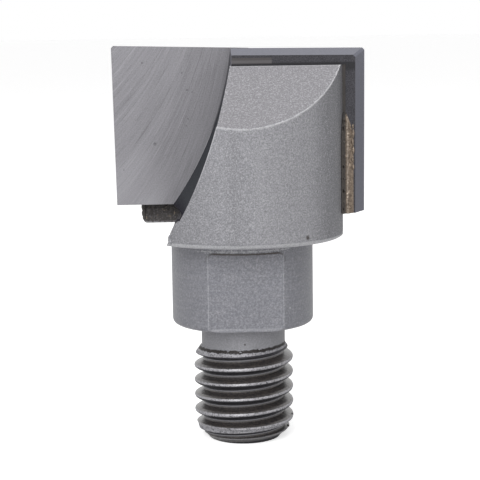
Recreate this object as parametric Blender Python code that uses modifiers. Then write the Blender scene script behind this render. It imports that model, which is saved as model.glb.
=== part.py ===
"""Screw-in surfacing router bit with two brazed carbide plates.

Metres, +Z up. The thread end stands on z = 0 and the axis is the Z axis. The plates lie along X, and the
wheel-ground gullet of the left plate opens towards -Y. Each feature of one wing comes back on the other
one by a half turn about Z, except for the few that the casting, the brazing and the grinding left uneven.
"""

import math

import bmesh
import bpy

MM = 0.001

# Threaded end, M10 x 1.5, right-hand
THREAD_PITCH = 1.5 * MM
THREAD_R = 4.96 * MM
ROOT_R = 4.06 * MM
CREST_WIDTH = 0.66 * MM
CREST_DROP = 0.27 * MM
CREST_TOP = 0.34 * MM
CREST_TOP_DROP = 0.06 * MM
ROOT_FLAT = 0.32 * MM
FRONT_CREST_Z = 7.75 * MM
THREAD_TOP = 9.75 * MM
RUNOUT = 1.5 * MM
RUNOUT_DEEPER = 0.03 * MM
# Radius and height of the worn lead-in, from the end face up
LEAD_IN = ((3.42, 0.0), (3.56, 0.06), (3.65, 0.2), (3.95, 0.5), (4.36, 0.78), (4.58, 1.05), (4.68, 1.5))
LEAD_TOP = 2.05 * MM

# Neck and hub
NECK_R = 4.16 * MM
NECK_START = 9.0 * MM
HUB_Z = 11.75 * MM
HUB_R = 7.0 * MM
HUB_ROUND = 0.5 * MM
FLAT_HALF = 6.0 * MM
FLAT_TOP = 19.34 * MM
FLAT_HALF_WIDTH = 3.75 * MM
FLAT_CORNER = 0.7 * MM

# Head
HEAD_Z = 20.32 * MM
HEAD_R = 10.2 * MM
HEAD_ROUND = 0.62 * MM
HEAD_TOP = 37.1 * MM
SLOPE_START = 3.57 * MM
SLOPE_ANGLE = math.atan(0.84)
SLOPE_ROLL = math.atan(0.026)

# Gullet wall: centre X, centre Z and radius of the wheel's arc in two planes
ARC_BACK_Y = 0.5 * MM
ARC_BACK = (-33.87 * MM, 42.74 * MM, 33.37 * MM)
ARC_FRONT_Y = -9.6 * MM
ARC_FRONT = (-52.6 * MM, 46.15 * MM, 51.9 * MM)
ARC_STEPS = 36
ARC_RINGS = 8
GULLET_LOW = {"left": 22.9 * MM, "right": 18.0 * MM}
GULLET_HIGH = 45.0 * MM
GULLET_FRONT = -14.0 * MM
GULLET_OUT = 16.0 * MM
GULLET_DEEPER = 0.02 * MM

# Foot of the left gullet under the plate: height, and X of its wall at the seat and at the front
FOOT = (
    (22.98, -5.9, -6.22),
    (22.74, -6.0, -6.54),
    (22.45, -6.12, -6.81),
    (21.73, -6.26, -7.16),
    (21.2, -6.31, -7.3),
    (20.62, -6.55, -7.36),
    (18.0, -9.0, -9.0),
)
FOOT_TOP_X = (-5.75 * MM, -6.02 * MM)
FOOT_FRONT_Y = -7.6 * MM

# Higher underside of the wing behind the left plate
STEP_X = 6.5 * MM
STEP_Z = 21.36 * MM
STEP_ROUND = 0.35 * MM

# Carbide plates
SEAT = 3.1 * MM
BRAZE = 0.1 * MM
PLATE_T = 2.0 * MM
PLATE_INNER = 0.93 * MM
PLATE_OUTER = {"left": 12.52 * MM, "right": 12.12 * MM}
PLATE_CENTRE_Z = 38.78 * MM
PLATE_TIP_Z = {"left": 39.13 * MM, "right": 38.66 * MM}
PLATE_LOW_Z = {"left": 23.45 * MM, "right": 22.72 * MM}
SIDE_TAPER = {"left": 0.0153, "right": 0.004}
TOP_RELIEF = 0.66 * MM
SIDE_RELIEF = 1.15 * MM
TIP_BREAK = 0.22 * MM
SLOT_PLAY = 0.05 * MM

# Bead of filler where a plate leaves its seat
BEAD_PLAY = 0.03 * MM
BEAD_OUT = 0.98 * MM
BEAD_BACK = 0.85 * MM
BEAD_TOP_Z = {"left": 31.0 * MM, "right": 32.5 * MM}
BEAD_TAPER = 2.4 * MM
BEAD_STEPS = 6

TURN_STEPS = 96
THREAD_STEPS = 48
THREAD_TURNS = 11
SIDES = ("left", "right")


def clear_scene():
    """Remove every object of the scene."""
    for obj in list(bpy.data.objects):
        bpy.data.objects.remove(obj, do_unlink=True)


def new_collection(name):
    """Return a new collection of the scene."""
    collection = bpy.data.collections.new(name)
    bpy.context.scene.collection.children.link(collection)
    return collection


def new_material(name, colour, metallic, roughness):
    """Return a new Principled material."""
    mat = bpy.data.materials.new(name)
    mat.use_nodes = True
    bsdf = mat.node_tree.nodes["Principled BSDF"]
    bsdf.inputs["Base Color"].default_value = (*colour, 1.0)
    bsdf.inputs["Metallic"].default_value = metallic
    bsdf.inputs["Roughness"].default_value = roughness
    return mat


def select(obj):
    """Make an object the only selected one and the active one."""
    bpy.ops.object.select_all(action="DESELECT")
    obj.select_set(True)
    bpy.context.view_layer.objects.active = obj


def move_to(obj, collection):
    """Put an object in one collection only."""
    for current in list(obj.users_collection):
        current.objects.unlink(obj)
    collection.objects.link(obj)
    return obj


def apply_modifier(obj, mod):
    """Apply one modifier of an object."""
    select(obj)
    bpy.ops.object.modifier_apply(modifier=mod.name)


def apply_transform(obj):
    """Apply an object's place, turn and scale."""
    select(obj)
    bpy.ops.object.transform_apply(location=True, rotation=True, scale=True)
    return obj


def edit_mesh(obj, action):
    """Run an action on the bmesh of an object."""
    mesh = bmesh.new()
    mesh.from_mesh(obj.data)
    action(mesh)
    mesh.to_mesh(obj.data)
    mesh.free()
    return obj


def weld(mesh):
    """Weld the points of a mesh and turn its faces outward."""
    bmesh.ops.remove_doubles(mesh, verts=mesh.verts, dist=1e-6)
    bmesh.ops.recalc_face_normals(mesh, faces=mesh.faces)


def cap_to_axis(mesh):
    """Close each open border of a mesh with a fan to a point on the Z axis."""
    border = [edge for edge in mesh.edges if edge.is_boundary]
    middle = sum(vert.co.z for edge in border for vert in edge.verts) / (2 * len(border))
    for upper in (False, True):
        loop = [edge for edge in border if (edge.verts[0].co.z > middle) == upper]
        height = sum(edge.verts[0].co.z for edge in loop) / len(loop)
        tip = mesh.verts.new((0.0, 0.0, height))
        for edge in loop:
            mesh.faces.new((edge.verts[0], edge.verts[1], tip))
    bmesh.ops.recalc_face_normals(mesh, faces=mesh.faces)


def loft(name, rings, collection):
    """Join rings of points with side faces and close the first and the last ring."""
    mesh = bmesh.new()
    rows = [[mesh.verts.new(point) for point in ring] for ring in rings]
    count = len(rings[0])
    for low, high in zip(rows, rows[1:]):
        for i in range(count):
            j = (i + 1) % count
            mesh.faces.new((low[i], low[j], high[j], high[i]))
    mesh.faces.new(rows[0])
    mesh.faces.new(rows[-1])
    bmesh.ops.triangulate(mesh, faces=mesh.faces)
    bmesh.ops.recalc_face_normals(mesh, faces=mesh.faces)
    data = bpy.data.meshes.new(name)
    mesh.to_mesh(data)
    mesh.free()
    obj = bpy.data.objects.new(name, data)
    collection.objects.link(obj)
    return obj


def box(name, low, high, collection):
    """Return a box between two corners."""
    bpy.ops.mesh.primitive_cube_add(size=1.0, location=[(a + b) / 2 for a, b in zip(low, high)])
    obj = bpy.context.object
    obj.name = name
    obj.scale = [b - a for a, b in zip(low, high)]
    apply_transform(obj)
    return move_to(obj, collection)


def outline_object(name, points, collection):
    """Return an object of the edges that join (radius, height) points on the XZ plane."""
    data = bpy.data.meshes.new(name)
    data.from_pydata([(r, 0.0, z) for r, z in points], [(i, i + 1) for i in range(len(points) - 1)], [])
    obj = bpy.data.objects.new(name, data)
    collection.objects.link(obj)
    return obj


def turn(obj, steps, rise=0.0, turns=1):
    """Turn an outline about the Z axis with the Screw modifier."""
    mod = obj.modifiers.new("turn", "SCREW")
    mod.axis = "Z"
    mod.angle = math.tau
    mod.screw_offset = rise
    mod.iterations = turns
    mod.steps = steps
    mod.render_steps = steps
    mod.use_merge_vertices = rise == 0.0
    mod.merge_threshold = 1e-6
    apply_modifier(obj, mod)
    return edit_mesh(obj, weld)


def combine(target, tool, operation):
    """Apply an exact Boolean of a target with a tool."""
    mod = target.modifiers.new(operation.lower(), "BOOLEAN")
    mod.operation = operation
    mod.solver = "EXACT"
    mod.object = tool
    apply_modifier(target, mod)
    return target


def half_turned(obj, name):
    """Return a copy of an object, turned by half a turn about the Z axis."""
    twin = obj.copy()
    twin.data = obj.data.copy()
    twin.name = name
    obj.users_collection[0].objects.link(twin)
    twin.rotation_euler = (0.0, 0.0, math.pi)
    return apply_transform(twin)


def round_corner(centre, radius, start, end, count=4):
    """Return the points of an arc, its angles in degrees."""
    angles = [math.radians(start + (end - start) * i / count) for i in range(count + 1)]
    return [(centre[0] + radius * math.cos(a), centre[1] + radius * math.sin(a)) for a in angles]


def threaded_end(parts, cutters):
    """Return the thread, cut to its length, with its end chamfer and its run-out."""
    half = THREAD_PITCH / 2
    first = FRONT_CREST_Z + THREAD_PITCH / 4 - 8 * THREAD_PITCH
    upper = [
        (ROOT_R, half),
        (ROOT_R, half - ROOT_FLAT / 2),
        (THREAD_R - CREST_DROP, CREST_WIDTH / 2),
        (THREAD_R - CREST_TOP_DROP, CREST_TOP / 2),
    ]
    profile = upper + [(THREAD_R, 0.0)] + [(r, -z) for r, z in reversed(upper)]
    thread = outline_object("thread", [(r, first + z) for r, z in profile], parts)
    turn(thread, THREAD_STEPS, THREAD_PITCH, THREAD_TURNS)
    edit_mesh(thread, cap_to_axis)
    reach = THREAD_R + 0.1 * MM
    envelope = outline_object("thread_envelope", [
        (0.0, THREAD_TOP + 0.3 * MM),
        (ROOT_R - 0.4 * MM, THREAD_TOP + 0.3 * MM),
        (ROOT_R - RUNOUT_DEEPER, THREAD_TOP),
        (reach, THREAD_TOP - RUNOUT),
        (reach, LEAD_TOP),
    ] + [(r * MM, z * MM) for r, z in reversed(LEAD_IN)] + [(0.0, 0.0)], cutters)
    turn(envelope, THREAD_STEPS)
    return combine(thread, envelope, "INTERSECT")


def turned_body(parts):
    """Return the neck, the hub and the head as one turned solid."""
    profile = [(0.0, HEAD_TOP), (HEAD_R, HEAD_TOP)]
    profile += round_corner((HEAD_R - HEAD_ROUND, HEAD_Z + HEAD_ROUND), HEAD_ROUND, 0, -90)
    profile += [(HUB_R, HEAD_Z)]
    profile += round_corner((HUB_R - HUB_ROUND, HUB_Z + HUB_ROUND), HUB_ROUND, 0, -90)
    profile += [(NECK_R, HUB_Z), (NECK_R, NECK_START), (NECK_R - 0.4 * MM, NECK_START - 0.4 * MM)]
    profile += [(0.0, NECK_START - 0.4 * MM)]
    return turn(outline_object("steel_body", profile, parts), TURN_STEPS)


def flat_cutter(cutters):
    """Return the cutter of the wrench flat that faces -Y, its upper corners rounded."""
    low = HUB_Z - 1.0 * MM
    corner = (FLAT_HALF_WIDTH - FLAT_CORNER, FLAT_TOP - FLAT_CORNER)
    right = round_corner(corner, FLAT_CORNER, 0, 90)
    outline = [(-FLAT_HALF_WIDTH, low), (FLAT_HALF_WIDTH, low)] + right
    outline += [(-x, z) for x, z in reversed(right)]
    far = HUB_R + 1.0 * MM
    return loft("flat_cutter", [[(x, y, z) for x, z in outline] for y in (-far, -FLAT_HALF)], cutters)


def wheel_arc(y, low):
    """Return the arc of the gullet wall in the plane at y, from low up."""
    part = (y - ARC_BACK_Y) / (ARC_FRONT_Y - ARC_BACK_Y)
    centre_x, centre_z, radius = (a + (b - a) * part for a, b in zip(ARC_BACK, ARC_FRONT))
    points = []
    for i in range(ARC_STEPS + 1):
        z = low + (GULLET_HIGH - low) * i / ARC_STEPS
        points.append((centre_x + math.sqrt(radius ** 2 - (z - centre_z) ** 2), y, z))
    return points


def gullet_cutter(side, cutters):
    """Return the solid that the wheel sweeps out on the left, down to the side's own depth."""
    low = GULLET_LOW[side]
    rings = []
    for i in range(ARC_RINGS + 1):
        y = GULLET_FRONT + (SEAT + GULLET_DEEPER - GULLET_FRONT) * i / ARC_RINGS
        ring = wheel_arc(y, low)
        rings.append(ring + [(-GULLET_OUT, y, GULLET_HIGH), (-GULLET_OUT, y, low)])
    return loft("gullet_cutter_" + side, rings, cutters)


def foot_cutter(cutters):
    """Return the cutter of the left gullet's foot, under the plate."""
    top = PLATE_LOW_Z["left"] - SLOT_PLAY
    rings = []
    for y, column in ((GULLET_FRONT, 1), (FOOT_FRONT_Y, 1), (SEAT - GULLET_DEEPER, 0)):
        wall = [(row[1 + column] * MM, y, row[0] * MM) for row in reversed(FOOT)]
        wall += [(FOOT_TOP_X[column], y, top)]
        rings.append(wall + [(-GULLET_OUT, y, top), (-GULLET_OUT, y, FOOT[-1][0] * MM)])
    return loft("foot_cutter", rings, cutters)


def step_cutters(cutters):
    """Return the cutters of the back wing's higher underside and of its rounded rim."""
    far = HEAD_R + 2.0 * MM
    low = SEAT - 2 * GULLET_DEEPER
    step = box("step_cutter", (-far, low, HUB_Z), (-STEP_X, far, STEP_Z), cutters)
    rim = [(far, STEP_Z + STEP_ROUND)]
    rim += round_corner((HEAD_R - STEP_ROUND, STEP_Z + STEP_ROUND), STEP_ROUND, 0, -90)
    rim += [(HEAD_R - STEP_ROUND, STEP_Z - STEP_ROUND), (far, STEP_Z - STEP_ROUND)]
    ring = turn(outline_object("rim_cutter", rim + rim[:1], cutters), TURN_STEPS)
    keep = box("rim_part", (-far, low, HUB_Z), (-STEP_X, far, HEAD_TOP), cutters)
    return [step, combine(ring, keep, "INTERSECT")]


def slope_cutter(cutters):
    """Return the block above the sloped back of the right wing."""
    size = 60.0 * MM
    bpy.ops.mesh.primitive_cube_add(size=size, location=(0.0, 0.0, size / 2))
    obj = bpy.context.object
    obj.name = "slope_cutter"
    apply_transform(obj)
    obj.rotation_euler = (SLOPE_ANGLE, -SLOPE_ROLL, 0.0)
    obj.location = (0.0, -SLOPE_START, HEAD_TOP)
    apply_transform(obj)
    return move_to(obj, cutters)


def slot_cutter(side, cutters):
    """Return the cutter of a plate's seat and of the slot round its inner end, on the left."""
    low = (-GULLET_OUT, SEAT - BRAZE - PLATE_T - SLOT_PLAY, PLATE_LOW_Z[side] - SLOT_PLAY)
    high = (PLATE_INNER + SLOT_PLAY, SEAT, GULLET_HIGH)
    return box("slot_cutter_" + side, low, high, cutters)


def steel_body(parts, cutters):
    """Return the steel body, one solid."""
    body = turned_body(parts)
    flat = flat_cutter(cutters)
    gullets = {side: gullet_cutter(side, cutters) for side in SIDES}
    slope = slope_cutter(cutters)
    slots = {side: slot_cutter(side, cutters) for side in SIDES}
    tools = [flat, half_turned(flat, "flat_cutter_back")]
    tools += [slope, half_turned(slope, "slope_cutter_back")]
    tools += [slots["left"], half_turned(slots["right"], "slot_cutter_right_turned")]
    tools += [gullets["left"], half_turned(gullets["right"], "gullet_cutter_right_turned")]
    tools += [foot_cutter(cutters)] + step_cutters(cutters)
    for tool in tools:
        combine(body, tool, "DIFFERENCE")
    thread = threaded_end(parts, cutters)
    combine(body, thread, "UNION")
    bpy.data.objects.remove(thread, do_unlink=True)
    return body


def plate_outline(side, relief):
    """Return a left plate's outline on XZ, drawn in by a part (0 to 1) of its relief."""
    drop = TOP_RELIEF * relief
    inset = SIDE_RELIEF * relief
    low = PLATE_LOW_Z[side]
    rise = (PLATE_TIP_Z[side] - PLATE_CENTRE_Z) / PLATE_OUTER[side]
    tip_x = PLATE_OUTER[side] - inset

    def top_z(x):
        return PLATE_CENTRE_Z - drop + rise * x

    def side_x(z):
        return tip_x - SIDE_TAPER[side] * (PLATE_CENTRE_Z - z)

    tip_z = top_z(tip_x)
    return [
        (PLATE_INNER, low),
        (-side_x(low), low),
        (-side_x(tip_z - TIP_BREAK), tip_z - TIP_BREAK),
        (-(side_x(tip_z) - TIP_BREAK), top_z(side_x(tip_z) - TIP_BREAK)),
        (PLATE_INNER, top_z(-PLATE_INNER)),
    ]


def plate(side, parts):
    """Return one carbide plate; the right one is a left one after half a turn."""
    back = SEAT - BRAZE
    rings = [[(x, y, z) for x, z in plate_outline(side, relief)]
             for y, relief in ((back - PLATE_T, 0.0), (back, 1.0))]
    return finish_side(loft("carbide_plate_" + side, rings, parts), side)


def bead_ring(scale, z):
    """Return the bead's section at a height, its reach scaled."""
    radius = HEAD_R + BEAD_PLAY
    back = SEAT - BRAZE
    corner = (math.sqrt(radius ** 2 - back ** 2), back)
    reach_y = back + BEAD_BACK * scale
    tip = (math.sqrt(radius ** 2 - reach_y ** 2) + 0.02 * MM, reach_y)
    out = (corner[0] + BEAD_OUT * scale, back)
    ring = []
    for i in range(BEAD_STEPS + 1):
        t = i / BEAD_STEPS
        sag = 0.22 * 4 * t * (1 - t)
        x = out[0] + (tip[0] - out[0]) * t
        y = out[1] + (tip[1] - out[1]) * t
        ring.append((-(x + (corner[0] - x) * sag), y + (corner[1] - y) * sag, z))
    for i in range(BEAD_STEPS):
        y = tip[1] + (corner[1] - tip[1]) * (i + 1) / (BEAD_STEPS + 1)
        ring.append((-math.sqrt(radius ** 2 - y ** 2), y, z))
    ring.append((-corner[0], corner[1], z))
    return ring


def braze_layer(side, parts, cutters):
    """Return the filler behind one plate, with the bead at the end of its seat."""
    low = PLATE_LOW_Z[side]
    top = BEAD_TOP_Z[side]
    layer = box("braze_layer_" + side, (-HEAD_R + 0.2 * MM, SEAT - BRAZE, low),
                (PLATE_INNER, SEAT, HEAD_TOP), parts)
    heights = ((1.0, low), (1.0, top - BEAD_TAPER), (0.75, top - BEAD_TAPER / 2), (0.3, top))
    bead = loft("bead_" + side, [bead_ring(scale, z) for scale, z in heights], cutters)
    combine(layer, bead, "UNION")
    return finish_side(layer, side)


def finish_side(obj, side):
    """Turn a right-hand piece to its side."""
    if side == "right":
        obj.rotation_euler = (0.0, 0.0, math.pi)
        apply_transform(obj)
    return obj


def shade(obj, mat):
    """Give an object its material and smooth its round faces."""
    obj.data.materials.clear()
    obj.data.materials.append(mat)
    obj.data.shade_smooth()
    obj.data.set_sharp_from_angle(angle=math.radians(28.0))


def main():
    """Build the router bit."""
    clear_scene()
    parts = new_collection("surfacing_router_bit")
    cutters = new_collection("cutters")
    steel = new_material("head_steel", (0.42, 0.43, 0.45), 1.0, 0.42)
    carbide = new_material("ground_carbide", (0.60, 0.61, 0.62), 1.0, 0.28)
    filler = new_material("braze_filler", (0.62, 0.48, 0.26), 1.0, 0.40)
    shade(steel_body(parts, cutters), steel)
    for side in SIDES:
        shade(plate(side, parts), carbide)
        shade(braze_layer(side, parts, cutters), filler)
    for obj in cutters.objects:
        obj.hide_render = True
        obj.display_type = "WIRE"


main()
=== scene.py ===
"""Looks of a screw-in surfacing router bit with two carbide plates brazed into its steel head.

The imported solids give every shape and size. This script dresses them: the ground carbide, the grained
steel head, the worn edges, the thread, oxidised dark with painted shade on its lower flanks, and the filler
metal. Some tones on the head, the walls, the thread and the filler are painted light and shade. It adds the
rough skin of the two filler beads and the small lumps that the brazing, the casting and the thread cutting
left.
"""

from __future__ import annotations

import logging
import math
from dataclasses import dataclass
from enum import Enum
from typing import Any

import bpy
from mathutils import Matrix, Vector


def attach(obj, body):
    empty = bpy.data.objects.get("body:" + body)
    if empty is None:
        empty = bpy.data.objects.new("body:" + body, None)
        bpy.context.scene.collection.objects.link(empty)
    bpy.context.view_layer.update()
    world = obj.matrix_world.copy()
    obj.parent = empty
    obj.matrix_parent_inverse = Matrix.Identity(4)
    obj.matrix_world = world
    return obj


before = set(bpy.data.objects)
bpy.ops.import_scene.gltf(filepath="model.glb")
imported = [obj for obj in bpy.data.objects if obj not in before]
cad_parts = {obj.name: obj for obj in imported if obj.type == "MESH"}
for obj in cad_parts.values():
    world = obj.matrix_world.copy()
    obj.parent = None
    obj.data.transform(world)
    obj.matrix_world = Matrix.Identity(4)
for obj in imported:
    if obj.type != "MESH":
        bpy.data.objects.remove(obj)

logging.basicConfig(level=logging.INFO, format="%(message)s")
log = logging.getLogger("router_bit")

MM = 0.001
MM_PER_METRE = 1000.0
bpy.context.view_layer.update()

Colour = tuple[float, float, float]


class Side(Enum):
    """The wing that a piece belongs to; the sign turns left-hand places by half a turn."""

    LEFT = 1.0
    RIGHT = -1.0


class Value:
    """A number on a shader link that takes part in Python arithmetic."""

    def __init__(self, shader: Nodes, socket: Any) -> None:
        """Wrap an output socket of a tree's nodes."""
        self.shader = shader
        self.socket = socket

    def _maths(self, operation: str, *operands: Any) -> Value:
        """Return one Math node's result."""
        return self.shader.maths(operation, *operands)

    def __add__(self, other: Any) -> Value:
        """Return self + other."""
        return self._maths("ADD", self, other)

    def __radd__(self, other: Any) -> Value:
        """Return other + self."""
        return self._maths("ADD", other, self)

    def __sub__(self, other: Any) -> Value:
        """Return self - other."""
        return self._maths("SUBTRACT", self, other)

    def __rsub__(self, other: Any) -> Value:
        """Return other - self."""
        return self._maths("SUBTRACT", other, self)

    def __mul__(self, other: Any) -> Value:
        """Return self * other."""
        return self._maths("MULTIPLY", self, other)

    def __rmul__(self, other: Any) -> Value:
        """Return other * self."""
        return self._maths("MULTIPLY", other, self)

    def __truediv__(self, other: Any) -> Value:
        """Return self / other."""
        return self._maths("DIVIDE", self, other)

    def __pow__(self, other: Any) -> Value:
        """Return self ** other."""
        return self._maths("POWER", self, other)

    def __neg__(self) -> Value:
        """Return -self."""
        return self._maths("MULTIPLY", self, -1.0)

    def __abs__(self) -> Value:
        """Return the absolute value."""
        return self._maths("ABSOLUTE", self)

    def clamped(self) -> Value:
        """Return the value held between 0 and 1."""
        return self._maths("MINIMUM", self._maths("MAXIMUM", self, 0.0), 1.0)

    def under(self, limit: Any, soft: float) -> Value:
        """Return 1 where the value is under a limit, fading to 0 over a soft width.

        Args:
            limit: the value at which the mask is one half.
            soft: the width over which the mask fades.

        Returns:
            The mask, between 0 and 1.
        """
        return ((limit - self) / soft + 0.5).clamped()

    def over(self, limit: Any, soft: float) -> Value:
        """Return 1 where the value is over a limit, fading to 0 over a soft width.

        Args:
            limit: the value at which the mask is one half.
            soft: the width over which the mask fades.

        Returns:
            The mask, between 0 and 1.
        """
        return ((self - limit) / soft + 0.5).clamped()

    def lesser(self, other: Any) -> Value:
        """Return the lesser of two values."""
        return self._maths("MINIMUM", self, other)

    def greater(self, other: Any) -> Value:
        """Return the greater of two values."""
        return self._maths("MAXIMUM", self, other)


class Nodes:
    """A node tree, with one method for every node that it needs."""

    def __init__(self, tree: bpy.types.NodeTree) -> None:
        """Take the tree that the nodes go into."""
        self.tree = tree

    def node(self, kind: str, settings: dict[str, Any] | None = None,
             inputs: dict[Any, Any] | None = None) -> Any:
        """Add a node, set it and feed its sockets.

        Args:
            kind: the node's type.
            settings: attributes that are set first.
            inputs: value or link for each input, by name or number.

        Returns:
            The new node.
        """
        node = self.tree.nodes.new(kind)
        for key, value in (settings or {}).items():
            setattr(node, key, value)
        for key, value in (inputs or {}).items():
            self.feed(node.inputs[key], value)
        return node

    def feed(self, socket: Any, value: Any) -> None:
        """Link or set one input socket.

        Args:
            socket: the input.
            value: a Value, a socket, a colour, a vector or a number.
        """
        if isinstance(value, Value):
            self.tree.links.new(value.socket, socket)
        elif isinstance(value, bpy.types.NodeSocket):
            self.tree.links.new(value, socket)
        elif socket.type == "RGBA" and len(value) == 3:
            socket.default_value = (*value, 1.0)
        else:
            socket.default_value = value

    def maths(self, operation: str, *operands: Any) -> Value:
        """Return the result of a Math node."""
        node = self.node("ShaderNodeMath", {"operation": operation}, dict(enumerate(operands)))
        return Value(self, node.outputs[0])


def scaled(colour: Colour, factor: float) -> Colour:
    """Return a colour made lighter or darker."""
    return tuple(part * factor for part in colour)


@dataclass(frozen=True)
class Grain:
    """A cloudy noise: features per unit, octaves of finer noise and how strong those are."""

    scale: float
    detail: float
    roughness: float


COARSE = Grain(1.3, 3.0, 0.55)
RAGGED = Grain(3.2, 4.0, 0.6)
FINE = Grain(9.0, 4.0, 0.65)
FINE_GRAIN = Grain(7.0, 3.0, 0.8)
COARSE_GRAIN = Grain(5.2, 3.0, 0.85)
STREAKED = Grain(1.6, 3.0, 0.6)
SCRATCHED = Grain(1.0, 6.0, 0.8)
BROAD_SCRATCHED = Grain(1.0, 2.0, 0.5)
DEEP_SCRATCHED = Grain(1.0, 3.0, 0.7)
CARBIDE_FINE = Grain(8.0, 4.0, 0.6)
BLOTCHED = Grain(1.4, 3.0, 0.6)
FILLER_LUMPS = Grain(2.2, 4.0, 0.6)
FILLER_FINE = Grain(6.0, 3.0, 0.7)
SPATTER_LUMPS = Grain(3.0, 3.0, 0.6)
SPATTER_FINE = Grain(8.0, 4.0, 0.65)


class Shader(Nodes):
    """A material's nodes."""

    def __init__(self, name: str) -> None:
        """Start a material with a Principled BSDF.

        Args:
            name: the material's name.
        """
        self.material = bpy.data.materials.new(name)
        self.material.use_nodes = True
        super().__init__(self.material.node_tree)
        self.bsdf = self.tree.nodes["Principled BSDF"]
        self.surface = self.tree.nodes["Material Output"].inputs["Surface"]

    def place(self) -> Any:
        """Return the Object coordinates in millimetres.

        Returns:
            The vector's socket.
        """
        metres = self.node("ShaderNodeTexCoord").outputs["Object"]
        return self.node("ShaderNodeVectorMath", {"operation": "MULTIPLY"},
                         {0: metres, 1: (MM_PER_METRE,) * 3}).outputs[0]

    def parts_of(self, vector: Any) -> tuple[Value, Value, Value]:
        """Return the X, Y and Z of a vector."""
        node = self.node("ShaderNodeSeparateXYZ", None, {0: vector})
        return tuple(Value(self, node.outputs[i]) for i in range(3))

    def joined(self, x: Any, y: Any, z: Any) -> Any:
        """Return a vector of three values."""
        return self.node("ShaderNodeCombineXYZ", None, {0: x, 1: y, 2: z}).outputs[0]

    def noise(self, vector: Any, grain: Grain) -> Value:
        """Return a cloudy noise.

        Args:
            vector: where the noise is read.
            grain: its size and roughness.

        Returns:
            The noise, round one half.
        """
        node = self.node("ShaderNodeTexNoise", {"noise_dimensions": "3D"},
                         {"Vector": vector, "Scale": grain.scale, "Detail": grain.detail,
                          "Roughness": grain.roughness})
        return Value(self, node.outputs[0])

    def cells(self, vector: Any, scale: float) -> Value:
        """Return the distance to the nearest of scattered points."""
        node = self.node("ShaderNodeTexVoronoi", {"feature": "F1"}, {"Vector": vector, "Scale": scale})
        return Value(self, node.outputs[0])

    def mix(self, factor: Any, first: Any, second: Any) -> Any:
        """Return a colour between two colours."""
        node = self.node("ShaderNodeMix", {"data_type": "RGBA"}, {0: factor, 6: first, 7: second})
        return node.outputs[2]

    def bump(self, height: Any, strength: float, distance: float, under: Any = None) -> Any:
        """Return a normal pushed by a height in millimetres.

        Args:
            height: the height, where 1 is the given distance.
            strength: how strongly the height shows.
            distance: the height of 1, in millimetres.
            under: a normal that this one is laid over.

        Returns:
            The normal's socket.
        """
        inputs = {"Height": height, "Strength": strength, "Distance": distance * MM}
        if under is not None:
            inputs["Normal"] = under
        return self.node("ShaderNodeBump", None, inputs).outputs[0]

    def finish(self, **inputs: Any) -> bpy.types.Material:
        """Feed the Principled BSDF by input name, an underscore standing for a space.

        Args:
            **inputs: values or links of the shader's inputs.

        Returns:
            The material.
        """
        for name, value in inputs.items():
            self.feed(self.bsdf.inputs[name.replace("_", " ")], value)
        return self.material


@dataclass(frozen=True)
class BodySizes:
    """Sizes of the solids that the wear follows, in millimetres, an arc as centre X, centre Z and radius."""

    pitch: float = 1.5
    crest_z: float = 7.75
    thread_r: float = 4.96
    root_r: float = 4.06
    thread_top: float = 9.75
    runout_z: float = 8.25
    runout_r: float = 5.06
    runout_slope: float = 0.687
    lead_r: float = 4.0
    lead_slope: float = 0.45
    lead_z: float = 0.75
    neck_z: float = 10.3
    hub_z: float = 11.75
    hub_r: float = 7.0
    flat_y: float = 6.0
    flat_top: float = 19.34
    flat_half: float = 3.75
    flat_corner: float = 0.7
    head_z: float = 20.32
    head_r: float = 10.2
    head_top: float = 37.1
    slope_start: float = 3.57
    slope: float = 0.84
    slope_roll: float = 0.026
    seat_y: float = 3.1
    rake_y: float = 1.0
    plate_low: float = 23.45
    block_z: float = 21.36
    block_x: float = -5.4
    wall_foot_z: float = 23.9
    arc_back: tuple[float, float, float] = (-33.87, 42.74, 33.37)
    arc_back_y: float = 0.5
    arc_front: tuple[float, float, float] = (-52.6, 46.15, 51.9)
    arc_front_y: float = -9.6


SIZES = BodySizes()


@dataclass(frozen=True)
class SteelSurface:
    """What the steel's finish reads at a point: its place in millimetres, noises and surface masks."""

    x: Value
    y: Value
    z: Value
    radius: Value
    turn: Value
    phase: Value
    fine: Value
    coarse: Value
    ragged: Value
    grain: Value
    thread_grain: Value
    specks: Value
    glints: Value
    slope_height: Value
    wall_depth: Value
    inside: Value
    clear: Value
    slope: Value
    rim: Value
    wall: Value
    wall_foot: Value
    seat: Value
    foot: Value
    hub: Value
    flat: Value
    thread: Value
    thread_line: Value


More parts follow.
